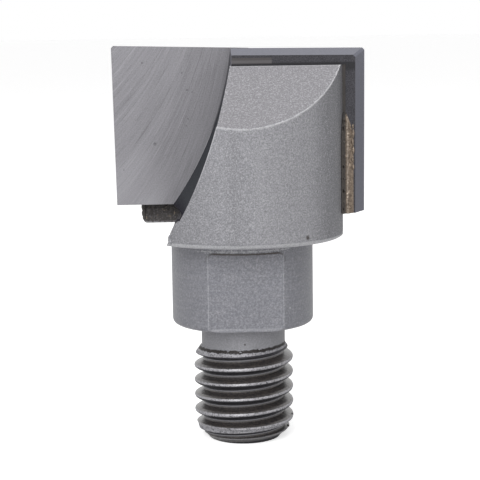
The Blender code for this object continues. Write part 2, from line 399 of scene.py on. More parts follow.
def read_surface(sh: Shader) -> SteelSurface:
    """Read the steel's surfaces from the solids' sizes.

    Args:
        sh: the steel's shader.

    Returns:
        The places, noises and masks.
    """
    s = SIZES
    place = sh.place()
    x, y, z = sh.parts_of(place)
    radius = (x * x + y * y) ** 0.5
    ragged = sh.noise(place, RAGGED)
    coarse_grain = sh.noise(place, COARSE_GRAIN)
    side = sh.maths("SIGN", x)
    seatward = y * side * -1.0
    turn = sh.maths("ARCTAN2", y, x) / math.tau + 0.25
    slope_height = (z - s.head_top + (abs(y) - s.slope_start) * s.slope
                    + x * sh.maths("SIGN", y) * s.slope_roll)
    wall_depth = gullet_depth(x * side * -1.0, seatward, z)
    head = z.over(s.head_z + 0.02, 0.04)
    inside = seatward.under(s.seat_y, 0.05)
    foot = z.under(s.plate_low, 0.03) * z.over(s.block_z - 0.36, 0.3) * radius.under(s.head_r - 0.07, 0.04)
    hub = z.over(s.hub_z + 0.02, 0.03) * z.under(s.head_z - 0.02, 0.03)
    flat = hub * abs(y).under(s.flat_y + 0.04, 0.03) * abs(x).under(s.flat_half, 0.05)
    above = z - s.crest_z - s.pitch - turn * s.pitch
    border = 0.17 - turn * 0.6 + (ragged - 0.5) * 0.4
    return SteelSurface(
        x=x, y=y, z=z, radius=radius, turn=turn,
        phase=sh.maths("FRACT", (z - s.crest_z) / s.pitch - turn),
        fine=sh.noise(place, FINE),
        coarse=sh.noise(place, COARSE),
        ragged=ragged,
        grain=sh.noise(place, FINE_GRAIN) * (1.0 - hub) + coarse_grain * hub,
        thread_grain=coarse_grain,
        specks=sh.cells(place, 2.4).under(0.13, 0.06),
        glints=sh.cells(place, 3.7).under(0.12, 0.06),
        slope_height=slope_height,
        wall_depth=wall_depth,
        inside=inside,
        clear=seatward.under(s.seat_y - 0.15, 0.05),
        slope=abs(slope_height).under(0.05, 0.03) * head * z.under(s.head_top - 0.01, 0.02),
        rim=radius.over(s.head_r - 0.06, 0.03) * head,
        wall=abs(wall_depth).under(0.05, 0.03) * head * radius.under(s.head_r - 0.04, 0.04) * inside,
        wall_foot=z.under(s.wall_foot_z + (ragged - 0.5) * 2.0, 1.3),
        seat=abs(s.seat_y - seatward).under(0.05, 0.03) * head * z.under(s.head_top - 0.05, 0.05),
        foot=foot * x.under(s.block_x, 0.1) * y.under(s.seat_y + 0.1, 0.02),
        hub=hub,
        flat=flat * z.under(s.flat_top, 0.03),
        thread=above.under(border + 0.08, 0.05) * z.under(s.thread_top + 0.1, 0.05),
        thread_line=abs(above - border).under(0.14, 0.07) * z.under(s.neck_z, 0.2))


def gullet_depth(out: Value, forward: Value, z: Value) -> Value:
    """Return the distance into the steel from a gullet's wall, a cone that the wheel ground.

    Args:
        out: X as on the left wing, whose tip is at negative X.
        forward: Y as on the left wing, whose seat is at positive Y.
        z: height.

    Returns:
        The distance, nought on the wall.
    """
    s = SIZES
    part = (forward - s.arc_back_y) / (s.arc_front_y - s.arc_back_y)
    centre_x, centre_z, radius = (a + part * (b - a) for a, b in zip(s.arc_back, s.arc_front))
    across = out - centre_x
    up = z - centre_z
    return (across * across + up * up) ** 0.5 - radius


@dataclass(frozen=True)
class Mark:
    """A pit or a bright nick: its place and its size in millimetres."""

    x: float
    y: float
    z: float
    size: float
    dark: bool


@dataclass(frozen=True)
class HeadSteel:
    """Grained grey steel with bright worn edges, a dark thread, scorched seats and painted light and shade.
    """

    grey: Colour = (0.262, 0.262, 0.28)
    warm: Colour = (0.167, 0.161, 0.172)
    # Gullet walls: painted shade, partly oxidised skin.
    wall: Colour = (0.022, 0.023, 0.028)
    blue: Colour = (0.128, 0.132, 0.162)
    # Worn crests, and the painted highlight in the thread's roots.
    worn: Colour = (0.44, 0.435, 0.46)
    # Near black: soot, and painted shade on the gullet walls and the thread's lower flanks.
    soot_and_shade: Colour = (0.013, 0.012, 0.016)
    pale: Colour = (0.46, 0.455, 0.475)
    shade: Colour = (0.13, 0.13, 0.14)
    filler: Colour = (0.30, 0.22, 0.12)
    bright: Colour = (0.56, 0.56, 0.58)
    # Oxidised dark, also the painted shade of the flats' ledge line and the thread's upper end line.
    oxide_and_shade: Colour = (0.045, 0.036, 0.032)
    scorch: Colour = (0.115, 0.098, 0.085)
    charred: Colour = (0.13, 0.124, 0.122)
    wall_shade_tone: Colour = (0.054, 0.057, 0.064)
    marks: tuple[Mark, ...] = (
        Mark(5.75, -8.43, 21.15, 0.20, True), Mark(-0.07, -4.16, 10.13, 0.09, True),
        Mark(4.28, -5.54, 13.95, 0.10, False))

    def material(self) -> bpy.types.Material:
        """Make the steel body's material.

        Returns:
            The material.
        """
        sh = Shader("head_steel")
        at = read_surface(sh)
        colour = sh.mix(at.coarse.over(0.5, 0.5) * 0.55, self.grey, scaled(self.grey, 0.86))
        colour = sh.mix(at.slope * (0.75 + 0.5 * (at.fine - 0.5)), colour, self.warm)
        colour = self._burnt_and_shaded(sh, colour, at)
        colour = self._speckled(sh, colour, at)
        colour = self._seat_filler(sh, colour, at)
        for mark in self.marks:
            colour = self._marked(sh, colour, at, mark)
        edge = self._worn_edges(at)
        colour = sh.mix(edge * 0.8, colour, self.bright)
        colour = self._hub_tones(sh, colour, at)
        colour, bright = self._thread_tones(sh, colour, at)
        self._cover_walls_with_shade(sh, at)

        sooty = (at.wall + at.foot + at.seat).clamped()
        under_crest = at.thread * at.phase.over(0.5, 0.04)
        coat = at.thread - bright * 0.7 - under_crest * 0.85 - at.thread_line * 0.9 + at.hub * 0.35
        rough = 0.46 + 0.16 * (at.fine - 0.5) - 0.12 * edge + 0.14 * bright + 0.45 * sooty
        height = at.grain * (at.rim * 0.7 + at.slope * 0.5 + at.wall * 0.5 + 0.25)
        height = height + at.specks * at.slope * -0.5
        return sh.finish(Base_Color=colour, Metallic=0.35, Roughness=rough.clamped(),
                         Normal=sh.bump(height, 0.55, 0.035), Specular_IOR_Level=0.35,
                         Coat_Weight=coat.clamped(), Coat_Roughness=0.3, Coat_IOR=1.6)

    def _burnt_and_shaded(self, sh: Shader, colour: Any, at: SteelSurface) -> Any:
        """Return the colour with the gullet walls darkened by painted shade and oxidised skin, the sooty
        block and the charred seats.

        Args:
            sh: the shader.
            colour: the colour so far.
            at: the surface.

        Returns:
            The new colour.
        """
        # Painted shade: the gullet walls are dark for the shade that falls in them, partly oxidised skin, and
        # darker still towards their foot.
        colour = sh.mix(at.wall, colour, sh.mix(at.wall_foot, self.wall, self.soot_and_shade))
        block = sh.mix(at.coarse.over(0.5, 0.25) * 0.35, self.oxide_and_shade, self.scorch)
        block = sh.mix(at.x.over(-6.9, 0.7) * (0.5 + at.ragged * 0.6).clamped(), block, self.soot_and_shade)
        colour = sh.mix(at.foot, colour, block)
        return sh.mix(at.seat * 0.95, colour, sh.mix(at.ragged.over(0.5, 0.5), self.oxide_and_shade, self.charred))

    def _speckled(self, sh: Shader, colour: Any, at: SteelSurface) -> Any:
        """Return the colour with the rim's painted light and shade, the grain, dark specks and glints.

        Args:
            sh: the shader.
            colour: the colour so far.
            at: the surface.

        Returns:
            The new colour.
        """
        x = at.x
        # Painted light: the rim is lighter across its front, between x 0.6 and 7 mm.
        colour = sh.mix(at.rim * x.over(0.6, 1.4) * x.under(7.0, 2.0) * 0.16, colour, self.pale)
        # Painted shade: the rim is darker on its right side past x 7.2 mm, in a band near x -1.1 mm and on
        # its left.
        painted_shade = abs(x + 1.1).under(0.6, 1.1) * 0.26 + x.over(7.2, 1.6) * 0.48 + x.under(-1.0, 0.8) * 0.12
        colour = sh.mix(at.rim * painted_shade.clamped(), colour, self.shade)
        cast = (at.slope * 0.8 + at.rim + at.flat * 1.2).clamped()
        speckle = 0.36 + cast * 0.42 + at.hub * 0.45 - at.flat * 0.2
        colour = sh.mix(((at.grain - 0.5) * 5.0).clamped() * speckle, colour, self.pale)
        colour = sh.mix(((0.5 - at.grain) * 5.0).clamped() * speckle, colour, self.shade)
        colour = sh.mix(at.specks * cast * at.ragged.over(0.52, 0.16) * 0.6, colour, self.shade)
        return sh.mix(at.glints * cast * at.ragged.over(0.55, 0.12) * 0.5, colour, self.bright)

    def _seat_filler(self, sh: Shader, colour: Any, at: SteelSurface) -> Any:
        """Return the colour with the filler that ran out under the plates and the block's worn edge.

        Args:
            sh: the shader.
            colour: the colour so far.
            at: the surface.

        Returns:
            The new colour.
        """
        s = SIZES
        low = at.seat * at.z.under(s.plate_low + 0.25, 0.2)
        colour = sh.mix(low * at.ragged.over(0.64, 0.08) * 0.4, colour, self.filler)
        colour = sh.mix(low * (at.ragged * 0.5 + at.fine * 0.5).over(0.65, 0.04) * 0.5, colour, self.pale)
        edge = (at.z - s.block_z).under(0.16, 0.06) * at.x.under(s.block_x - 1.2, 0.2)
        edge = edge * at.y.over(s.seat_y - 0.2, 0.1) * at.seat.greater(at.foot)
        return sh.mix(edge * at.ragged.over(0.48, 0.1) * 0.5, colour, self.pale)

    def _marked(self, sh: Shader, colour: Any, at: SteelSurface, mark: Mark) -> Any:
        """Return the colour with one pit or one bright nick.

        Args:
            sh: the shader.
            colour: the colour so far.
            at: the surface.
            mark: the pit or nick.

        Returns:
            The new colour.
        """
        away = ((at.x - mark.x) ** 2.0 + (at.y - mark.y) ** 2.0 + (at.z - mark.z) ** 2.0) ** 0.5
        spot = (away + (at.fine - 0.5) * mark.size).under(mark.size, mark.size * 0.8)
        return sh.mix(spot * 0.85, colour, self.oxide_and_shade if mark.dark else self.bright)

    def _worn_edges(self, at: SteelSurface) -> Value:
        """Return where the head's and the hub's edges are worn bright.

        Args:
            at: the surface.

        Returns:
            The mask, between 0 and 1.
        """
        s = SIZES
        x, y, z = at.x, at.y, at.z
        wear = 0.075 + 0.30 * (at.ragged - 0.45)
        from_slope = abs(at.slope_height) * 0.77
        from_rim = s.head_r - at.radius
        from_wall = abs(at.wall_depth)
        arc = from_slope.under(wear, 0.05) * from_rim.under(wear, 0.05) * 0.75
        cut = from_wall.under(wear * 0.9, 0.05) * from_rim.under(wear * 0.9, 0.05) * at.inside
        cut = cut * z.over(26.5, 4.0)
        cut = cut + from_wall.under(wear * 0.7, 0.05) * from_slope.under(wear * 0.5, 0.05) * at.inside
        top = (s.head_top - z).under(wear * 0.6, 0.04) * from_slope.under(wear * 0.8, 0.05)
        head_up = z - s.head_z
        under = head_up.under(0.42, 0.12) * at.radius.over(s.head_r - 0.55, 0.1) * head_up.over(-0.02, 0.02)
        edges = (arc + cut * 0.8 + top * 0.3).clamped() * z.over(s.head_z + 0.3, 0.2)
        edges = edges + under * (0.7 + at.ragged)
        beside = abs(abs(x) - (s.flat_half - 0.12)).under(wear * 0.75 - 0.02, 0.05)
        corner = (abs(y) - s.flat_y + 0.02).under(0.08, 0.04) * beside * abs(y).over(s.flat_y - 0.14, 0.05)
        hub = z.over(s.hub_z, 0.05) * z.under(s.flat_top, 0.05)
        hub_up = z - s.hub_z
        low = hub_up.under(0.34, 0.06) * abs(y).over(s.flat_y - 0.03, 0.02) * hub_up.over(0.1, 0.1)
        rim = hub_up.under(0.20, 0.08) * at.radius.over(s.hub_r - 0.5, 0.1)
        rim = rim * abs(y).under(s.flat_y - 0.06, 0.04) * z.over(s.hub_z - 0.02, 0.02)
        worn = edges + corner * hub + (low * hub + rim) * 0.6
        return worn.clamped() * ((at.fine - 0.5) * 3.5 + 0.75).clamped()

    def _hub_tones(self, sh: Shader, colour: Any, at: SteelSurface) -> Any:
        """Return the colour with the hub's bluish streaks, the band above the flats and painted shade under
        the hub and the flats' ledge.

        Args:
            sh: the shader.
            colour: the colour so far.
            at: the surface.

        Returns:
            The new colour.
        """
        s = SIZES
        z = at.z
        streaks = sh.noise(sh.joined(at.x * 0.3, at.y * 0.3, z * 3.4), STREAKED)
        colour = sh.mix(at.hub * (0.32 + streaks.over(0.5, 0.3) * 0.22), colour, self.blue)
        band = at.hub * z.over(s.flat_top + 0.12, 0.1) * abs(at.x).under(4.4, 1.0)
        colour = sh.mix(band * (0.5 - at.ragged).over(0.07, 0.06) * 0.3, colour, self.charred)
        colour = sh.mix(band * (at.grain - 0.5).over(0.05, 0.05) * 0.4, colour, self.bright)
        streak = abs(z - s.flat_top - 0.36 - at.x * 0.012).under(0.06, 0.06) * at.ragged.over(0.45, 0.2)
        colour = sh.mix(band * streak * 0.55, colour, self.bright)
        # Painted shade on the neck's top, just under the hub.
        under_hub_shade = z.over(s.hub_z - 0.32, 0.4) * z.under(s.hub_z, 0.03)
        colour = sh.mix(under_hub_shade * 0.35, colour, self.shade)
        # Painted shade: a dark line under the ledge at the top of the flats.
        return sh.mix(self._flat_line(at) * 0.92, colour, self.oxide_and_shade)

    def _flat_line(self, at: SteelSurface) -> Value:
        """Return the painted shade line under the ledge along the rounded upper edge of the wrench flats.

        Args:
            at: the surface.

        Returns:
            The mask, between 0 and 1.
        """
        s = SIZES
        across = (abs(at.x) - s.flat_half + s.flat_corner).greater(0.0)
        up = (at.z - s.flat_top + s.flat_corner).greater(0.0)
        inward = s.flat_corner - (across * across + up * up) ** 0.5
        near = inward.under(-0.02 + (at.ragged - 0.5) * 0.2, 0.08) * inward.over(-0.20, 0.06)
        near = near * (1.0 - across / s.flat_corner * 0.75).clamped()
        near = near * at.z.over(s.flat_top - 0.75, 0.15) * at.z.under(s.flat_top + 0.3, 0.05)
        return near * abs(at.y).over(s.flat_y - 0.3, 0.05)

    def _thread_tones(self, sh: Shader, colour: Any, at: SteelSurface) -> tuple[Any, Value]:
        """Return the colour with the thread oxidised dark, painted shade on its lower flanks and along its
        upper end, worn crests and a painted highlight in its roots.

        Args:
            sh: the shader.
            colour: the colour so far.
            at: the surface.

        Returns:
            The new colour and the mask of the worn crests and the painted root highlight.
        """
        s = SIZES
        z, radius, phase = at.z, at.radius, at.phase
        upper = phase.over(0.06, 0.04) * phase.under(0.47, 0.05)
        # Painted shade and oxidised dark: the thread starts near black, which stays on the lower flanks that
        # face down.
        colour = sh.mix(at.thread * 0.97, colour, self.soot_and_shade)
        scorched = (0.35 + (at.thread_grain - 0.5) * 4.0).clamped()
        colour = sh.mix(at.thread * upper * scorched, colour, self.scorch)
        reach = (s.runout_r - (z - s.runout_z) * s.runout_slope).lesser(s.lead_r + z * s.lead_slope)
        reach = reach.lesser(s.thread_r)
        fleck = ((at.thread_grain - 0.5) * 5.0 + 0.8).clamped()
        wide = (z - 7.3).clamped() * 0.12 + (3.3 - z).clamped() * 0.2
        crest = radius.over(reach - 0.02 - 0.10 * at.ragged, 0.05)
        crest = crest * z.over(s.lead_z + at.turn * s.pitch, 0.06)
        crest = crest * (phase.under(0.5, 0.02) + phase.over(0.96 - wide, 0.03)).clamped()
        step = phase.over(0.20, 0.03) * phase.under(0.31, 0.03) * z.under(1.2, 0.1) * radius.over(3.8, 0.05)
        # Painted highlight: a bright line in the roots, where the rounded valley catches light.
        root = radius.under(s.root_r + 0.05, 0.04) * phase.over(0.485, 0.02) * phase.under(0.55, 0.02)
        bright = (crest * fleck + root * (0.3 + at.ragged * 0.5) + step * fleck * 0.8).clamped() * at.thread
        colour = sh.mix(bright * 0.9, colour, self.worn)
        # Painted shade: a dark line along the thread's upper end, where its first groove lies in shadow.
        return sh.mix(at.thread_line * 0.95, colour, scaled(self.oxide_and_shade, 0.4)), bright

    def _cover_walls_with_shade(self, sh: Shader, at: SteelSurface) -> None:
        """Lay a dark, unglossy finish over the gullet walls: painted shade, partly the oxidised skin that
        brazing left.

        Args:
            sh: the shader.
            at: the surface.
        """
        # Painted shade on the gullet walls: a dark, unglossy cover.
        mottle = ((at.grain - 0.5) * 4.0 + 0.5).clamped()
        tone = sh.mix(mottle, scaled(self.wall_shade_tone, 0.82), scaled(self.wall_shade_tone, 1.2))
        tone = sh.mix(at.wall_foot, tone, scaled(self.soot_and_shade, 2.0))
        painted_shade = sh.node("ShaderNodeBsdfPrincipled", None,
                       {"Base Color": tone, "Roughness": 0.9, "Specular IOR Level": 0.0})
        cover = (at.wall * at.clear * (0.86 + 0.2 * at.ragged)).clamped()
        both = sh.node("ShaderNodeMixShader", None, {0: cover, 1: sh.bsdf.outputs[0], 2: painted_shade.outputs[0]})
        sh.feed(sh.surface, both.outputs[0])


@dataclass(frozen=True)
class GroundCarbide:
    """Light grey carbide with the curved scratches of the grinding wheel.

    The scratches lean more the farther they are from the axis: their slope at a place along the plate is
    the tangent of a lean that grows evenly, which makes each scratch a line of the same shape.
    """

    light: Colour = (0.300, 0.295, 0.316)
    dark: Colour = (0.150, 0.146, 0.158)
    shade: Colour = (0.105, 0.101, 0.110)
    back: Colour = (0.036, 0.035, 0.041)
    relief: Colour = (0.155, 0.158, 0.200)
    strip_dark: Colour = (0.06, 0.055, 0.055)
    strip_light: Colour = (0.098, 0.092, 0.096)
    lean_start: float = 0.129
    lean_rate: float = 0.05236
    strip_z: tuple[float, float] = (37.30, 37.86)
    strip_end: float = -2.92
    pits: tuple[tuple[float, float, float], ...] = (
        (-9.5, 37.42, 0.09), (-5.62, 36.39, 0.08), (-5.16, 34.72, 0.09), (-4.67, 34.52, 0.06),
        (-5.11, 31.87, 0.07), (-5.3, 31.2, 0.06), (-8.43, 29.48, 0.13), (-11.53, 26.94, 0.05))

    def material(self, side: Side) -> bpy.types.Material:
        """Return one plate's material.

        Args:
            side: the plate's wing.

        Returns:
            The material.
        """
        sh = Shader("ground_carbide_" + side.name.lower())
        place = sh.place()
        x, y, z = sh.parts_of(place)
        u = x * side.value
        v = y * side.value
        lean = (self.lean_start - u * self.lean_rate).greater(0.05).lesser(1.4)
        line = z + sh.maths("LOGARITHM", sh.maths("SINE", lean), math.e) / self.lean_rate
        scratches = sh.noise(sh.joined(line * 3.2, z * 0.16, 0.0), SCRATCHED)
        broad = sh.noise(sh.joined(line * 0.45, z * 0.10, 3.0), BROAD_SCRATCHED)
        deep = sh.noise(sh.joined(line * 1.7, z * 0.12, 9.0), DEEP_SCRATCHED)
        fine = sh.noise(place, CARBIDE_FINE)
        centre_x, centre_z, arc_r = SIZES.arc_back
        across = u - centre_x
        up = z - centre_z
        inward = arc_r - (across * across + up * up) ** 0.5
        rake = v.under(SIZES.rake_y + 0.03, 0.02)
        back = v.over(SIZES.seat_y - 0.12, 0.02)

        tone = 0.45 + (scratches - 0.5) * 1.6 + (broad - 0.5) * 0.35 + (inward - 4.0).clamped() * 0.17
        tone = tone - deep.over(0.62, 0.05) * 0.3 + deep.under(0.37, 0.04) * 0.35 + (fine - 0.5) * 1.3
        # Painted light: the rake is lightened near the arc, where the gullet wall shades it.
        tone = tone + inward.under(1.7, 2.4) * z.under(35.0, 3.0) * 0.26
        low = ((30.0 - z) / 7.0).clamped() * ((-u - 6.5) / 3.0).clamped()
        colour = sh.mix((tone + low * 0.25).clamped(), self.dark, self.light)
        colour = sh.mix(low * 0.35, colour, scaled(self.light, 1.2))
        near = inward.under(1.1, 1.8) * (0.5 + 0.8 * (broad - 0.3)) * (0.4 + 0.6 * z.under(28.0, 6.0))
        colour = sh.mix((near * 0.14).clamped(), colour, self.shade)
        if side is Side.LEFT:
            colour = self._pitted(sh, colour, u, z, fine)
        rim_light = inward.under(0.07, 0.04) * inward.over(-0.06, 0.04) * z.under(33.5, 3.0)
        colour = sh.mix(rim_light * 0.6, colour, scaled(self.light, 1.25))
        seam = inward.under(0.10 + (broad - 0.5) * 0.12, 0.05) * z.over(30.6, 1.6)
        colour = sh.mix(seam * 0.75, colour, self.back)
        mottle = ((fine - 0.5) * 3.0 + 0.5).clamped()
        colour = sh.mix(1.0 - rake, colour, sh.mix(mottle, self.relief, scaled(self.relief, 0.74)))
        colour = sh.mix(back, colour, self._back_colour(sh, u, z, fine, place))

        rough = 0.34 + 0.22 * (scratches - 0.5) + back * 0.2
        normal = sh.bump(fine, 0.15, 0.01, sh.bump(scratches, 0.35, 0.012))
        return sh.finish(Base_Color=colour, Metallic=0.5, Roughness=rough.clamped(), Normal=normal)

    def _pitted(self, sh: Shader, colour: Any, u: Value, z: Value, fine: Value) -> Any:
        """Return the rake face's colour with its few dark pits.

        Args:
            sh: the shader.
            colour: the colour so far.
            u: place along the plate.
            z: height.
            fine: fine noise that roughens each pit's edge.

        Returns:
            The new colour.
        """
        for pit_u, pit_z, size in self.pits:
            away = ((u - pit_u) * (u - pit_u) + (z - pit_z) * (z - pit_z)) ** 0.5 + (fine - 0.5) * 0.3
            colour = sh.mix(away.under(size, size) * (0.2 + 0.7 * fine), colour, self.back)
        return colour

    def _back_colour(self, sh: Shader, u: Value, z: Value, fine: Value, place: Any) -> Any:
        """Return the colour of the plate's dark back, with the strip of filler left above the steel.

        Args:
            sh: the shader.
            u: place along the plate.
            z: height.
            fine: fine noise.
            place: the Object coordinates.

        Returns:
            The colour.
        """
        blotch = sh.noise(place, BLOTCHED)
        mottle = ((fine - 0.5) * 4.0 + blotch).clamped()
        colour = sh.mix(mottle, scaled(self.back, 0.6), scaled(self.back, 1.7))
        low, high = self.strip_z
        below = z.under(low + 0.06, 0.1) * z.over(low - 0.7, 0.3)
        colour = sh.mix(below * 0.8, colour, scaled(self.back, 0.4))
        strip = z.over(low, 0.06) * z.under(high, 0.10) * u.over(self.strip_end, 0.06)
        inner = (z.over(low + 0.06, 0.06) * z.under(high - 0.24, 0.10) + 0.25) * (0.35 + 0.9 * fine)
        colour = sh.mix(strip * 0.85, colour, self.strip_dark)
        return sh.mix(strip * inner.clamped(), colour, self.strip_light)


@dataclass(frozen=True)
class BrazeFiller:
    """Matt yellow-brown filler metal, darkly fluxed at its top, with painted shade in the seam beside the
    steel and a painted highlight on its ridge.
    """

    gold: Colour = (0.285, 0.225, 0.175)
    brown: Colour = (0.12, 0.092, 0.07)
    flux_and_shade: Colour = (0.048, 0.043, 0.041)
    shine: Colour = (0.52, 0.46, 0.40)
    ridge_x: float = 10.16
    seam_x: float = 9.97
    flux_z: float = 32.2

    def material(self) -> bpy.types.Material:
        """Make the filler's material.

        Returns:
            The material.
        """
        sh = Shader("braze_filler")
        place = sh.place()
        x, _, z = sh.parts_of(place)
        reach = abs(x)
        lumps = sh.noise(place, FILLER_LUMPS)
        fine = sh.noise(place, FILLER_FINE)
        mottle = (lumps.over(0.5, 0.3) * 0.6 + 0.2 + (fine - 0.5) * 2.2).clamped()
        colour = sh.mix(mottle, self.brown, self.gold)
        # Painted highlight along the bead's ridge.
        ridge_highlight = abs(reach - self.ridge_x - (lumps - 0.5) * 0.2).under(0.06, 0.08)
        colour = sh.mix(ridge_highlight * (fine - 0.42).over(0.0, 0.12) * 0.5, colour, self.shine)
        # Painted shade in the seam beside the steel rim; the top is darkly fluxed.
        seam = reach.under(self.seam_x + (lumps - 0.5) * 0.35, 0.14)
        upper = z.over(self.flux_z + (lumps - 0.5) * 2.0, 0.5)
        colour = sh.mix((seam * 0.9 + upper * 0.95).clamped(), colour, self.flux_and_shade)
        return sh.finish(Base_Color=colour, Metallic=0.6, Normal=sh.bump(lumps, 0.6, 0.08),
                         Roughness=(0.42 + 0.3 * (fine - 0.5)).clamped())


@dataclass(frozen=True)
class Spatter:
    """The look of small lumps of metal: their colours and their gloss."""

    name: str
    dark: Colour
    light: Colour
    metallic: float
    roughness: float

    def material(self) -> bpy.types.Material:
        """Make the lumps' material.

        Returns:
            The material.
        """
        sh = Shader(self.name)
        place = sh.place()
        fine = sh.noise(place, SPATTER_FINE)
        lumps = sh.noise(place, SPATTER_LUMPS)
        colour = sh.mix(((fine - 0.5) * 3.0 + lumps).clamped(), self.dark, self.light)
        normal = sh.bump(lumps, 0.5, 0.04)
        return sh.finish(Base_Color=colour, Metallic=self.metallic, Normal=normal,
                         Roughness=(self.roughness + 0.3 * (fine - 0.5)).clamped())


@dataclass(frozen=True)
class Drop:
    """One lump: its middle and its half sizes in millimetres, and its turn about the upright."""

    place: tuple[float, float, float]
    half: tuple[float, float, float]
    turn_deg: float = 0.0


@dataclass(frozen=True)
class Lumps:
    """A group of lumps on the metal, joined to one piece."""

    name: str
    finish: Spatter
    drops: tuple[Drop, ...]
    rough_mm: float = 0.06
    grain_mm: float = 0.22

    def build(self) -> bpy.types.Object:
        """Model the group's lumps and join them.

        Returns:
            The piece.
        """
        made = [self._drop(drop) for drop in self.drops]
        bpy.ops.object.select_all(action="DESELECT")
        for piece in made:
            piece.select_set(True)
        bpy.context.view_layer.objects.active = made[0]
        if len(made) > 1:
            bpy.ops.object.join()
        bpy.ops.object.transform_apply(location=True, rotation=True, scale=True)
        piece = bpy.context.object
        piece.name = self.name
        piece.data.materials.append(self.finish.material())
        bpy.ops.object.shade_smooth()
        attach(piece, "root")
        log.info("%s: %d lumps, %d faces", self.name, len(self.drops), len(piece.data.polygons))
        return piece

    def _drop(self, drop: Drop) -> bpy.types.Object:
        """Model one lump from a ball: squashed, turned and roughened.

        Args:
            drop: the lump's place and shape.

        Returns:
            The lump.
        """
        place = tuple(c * MM for c in drop.place)
        bpy.ops.object.select_all(action="DESELECT")
        bpy.ops.mesh.primitive_ico_sphere_add(subdivisions=4, radius=1.0 * MM, location=place)
        piece = bpy.context.object
        bpy.ops.object.mode_set(mode="EDIT")
        bpy.ops.mesh.select_all(action="SELECT")
        bpy.ops.transform.resize(value=drop.half, center_override=place)
        bpy.ops.transform.rotate(value=math.radians(drop.turn_deg), orient_axis="Z", center_override=place)
        bpy.ops.object.mode_set(mode="OBJECT")
        roughened(piece, self.rough_mm, self.grain_mm)
        return piece


def roughened(piece: bpy.types.Object, depth_mm: float, grain_mm: float) -> None:
    """Push a piece's surface in and out by cloudy noise.

    Args:
        piece: the piece, which is the active object.
        depth_mm: the greatest push.
        grain_mm: the size of the noise's clouds.
    """
    clouds = bpy.data.textures.new(piece.name + "_clouds", "CLOUDS")
    clouds.noise_scale = grain_mm * MM
    clouds.noise_depth = 2
    push = piece.modifiers.new("rough", "DISPLACE")
    push.texture = clouds
    push.texture_coords = "GLOBAL"
    push.strength = 2.0 * depth_mm * MM
    push.mid_level = 0.5
    bpy.ops.object.modifier_apply(modifier=push.name)


@dataclass
class BeadCrust:
    """The lumpy skin on the bead of filler at the end of one seat."""

    side: Side
    inner_x: float = 9.74
    inner_y: float = 3.10
    rough_mm: float = 0.34
    grain_mm: float = 0.50
    slice_mm: float = 0.16
    low_z: float = 22.0
    high_z: float = 32.6
    skin_mm: float = 0.06
    merge_mm: float = 0.001
    facing: float = 0.3

    def build(self, material: bpy.types.Material) -> bpy.types.Object:
        """Model the skin from the bead's own outer faces.

        Args:
            material: the filler's material.

        Returns:
            The piece.
        """
        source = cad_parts["braze_layer_" + self.side.name.lower()]
        piece = source.copy()
        piece.data = source.data.copy()
        bpy.context.scene.collection.objects.link(piece)
        bpy.ops.object.select_all(action="DESELECT")
        piece.select_set(True)
        bpy.context.view_layer.objects.active = piece
        bpy.ops.object.mode_set(mode="EDIT")
        bpy.ops.mesh.select_all(action="SELECT")
        bpy.ops.mesh.remove_doubles(threshold=self.merge_mm * MM)
        bpy.ops.mesh.select_all(action="DESELECT")
        bpy.ops.object.mode_set(mode="OBJECT")
        for face in piece.data.polygons:
            face.select = not self._outer(face)
        bpy.ops.object.mode_set(mode="EDIT")
        bpy.ops.mesh.select_mode(type="FACE")
        bpy.ops.mesh.delete(type="FACE")
        for step in range(int((self.high_z - self.low_z) / self.slice_mm)):
            bpy.ops.mesh.select_all(action="SELECT")
            height = (self.low_z + step * self.slice_mm) * MM
            bpy.ops.mesh.bisect(plane_co=(0.0, 0.0, height), plane_no=(0.0, 0.0, 1.0))
        bpy.ops.mesh.select_all(action="SELECT")
        bpy.ops.mesh.subdivide(number_cuts=1)
        bpy.ops.object.mode_set(mode="OBJECT")
        piece.name = "braze_crust_" + self.side.name.lower()
        roughened(piece, self.rough_mm, self.grain_mm)
        shell = piece.modifiers.new("shell", "SOLIDIFY")
        shell.thickness = self.skin_mm * MM
        shell.offset = -1.0
        bpy.ops.object.modifier_apply(modifier=shell.name)
        bpy.ops.object.shade_smooth()
        piece.data.materials.clear()
        piece.data.materials.append(material)
        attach(piece, "root")
        log.info("%s: %d faces", piece.name, len(piece.data.polygons))
        return piece

    def _outer(self, face: Any) -> bool:
        """Say whether a face is on the bead's open side.

        Args:
            face: a face of the filler's mesh.

        Returns:
            True for a face that the skin covers.
        """
        sign = self.side.value
        middle = face.center / MM
        out_x = face.normal.x * -sign
        out_y = face.normal.y * sign
        beyond = middle.x * -sign > self.inner_x and middle.y * sign > self.inner_y
        return beyond and out_x + out_y > self.facing


GOLD_SPATTER = Spatter("gold_spatter", (0.10, 0.08, 0.06), (0.44, 0.37, 0.30), 0.6, 0.4)
FILLER_SPATTER = Spatter("filler_spatter", (0.12, 0.092, 0.07), (0.30, 0.24, 0.19), 0.6, 0.42)
FLUX_SPATTER = Spatter("flux_spatter", (0.030, 0.028, 0.028), (0.085, 0.076, 0.070), 0.2, 0.65)
STEEL_SPATTER = Spatter("steel_spatter", (0.16, 0.16, 0.175), (0.36, 0.36, 0.38), 0.4, 0.45)

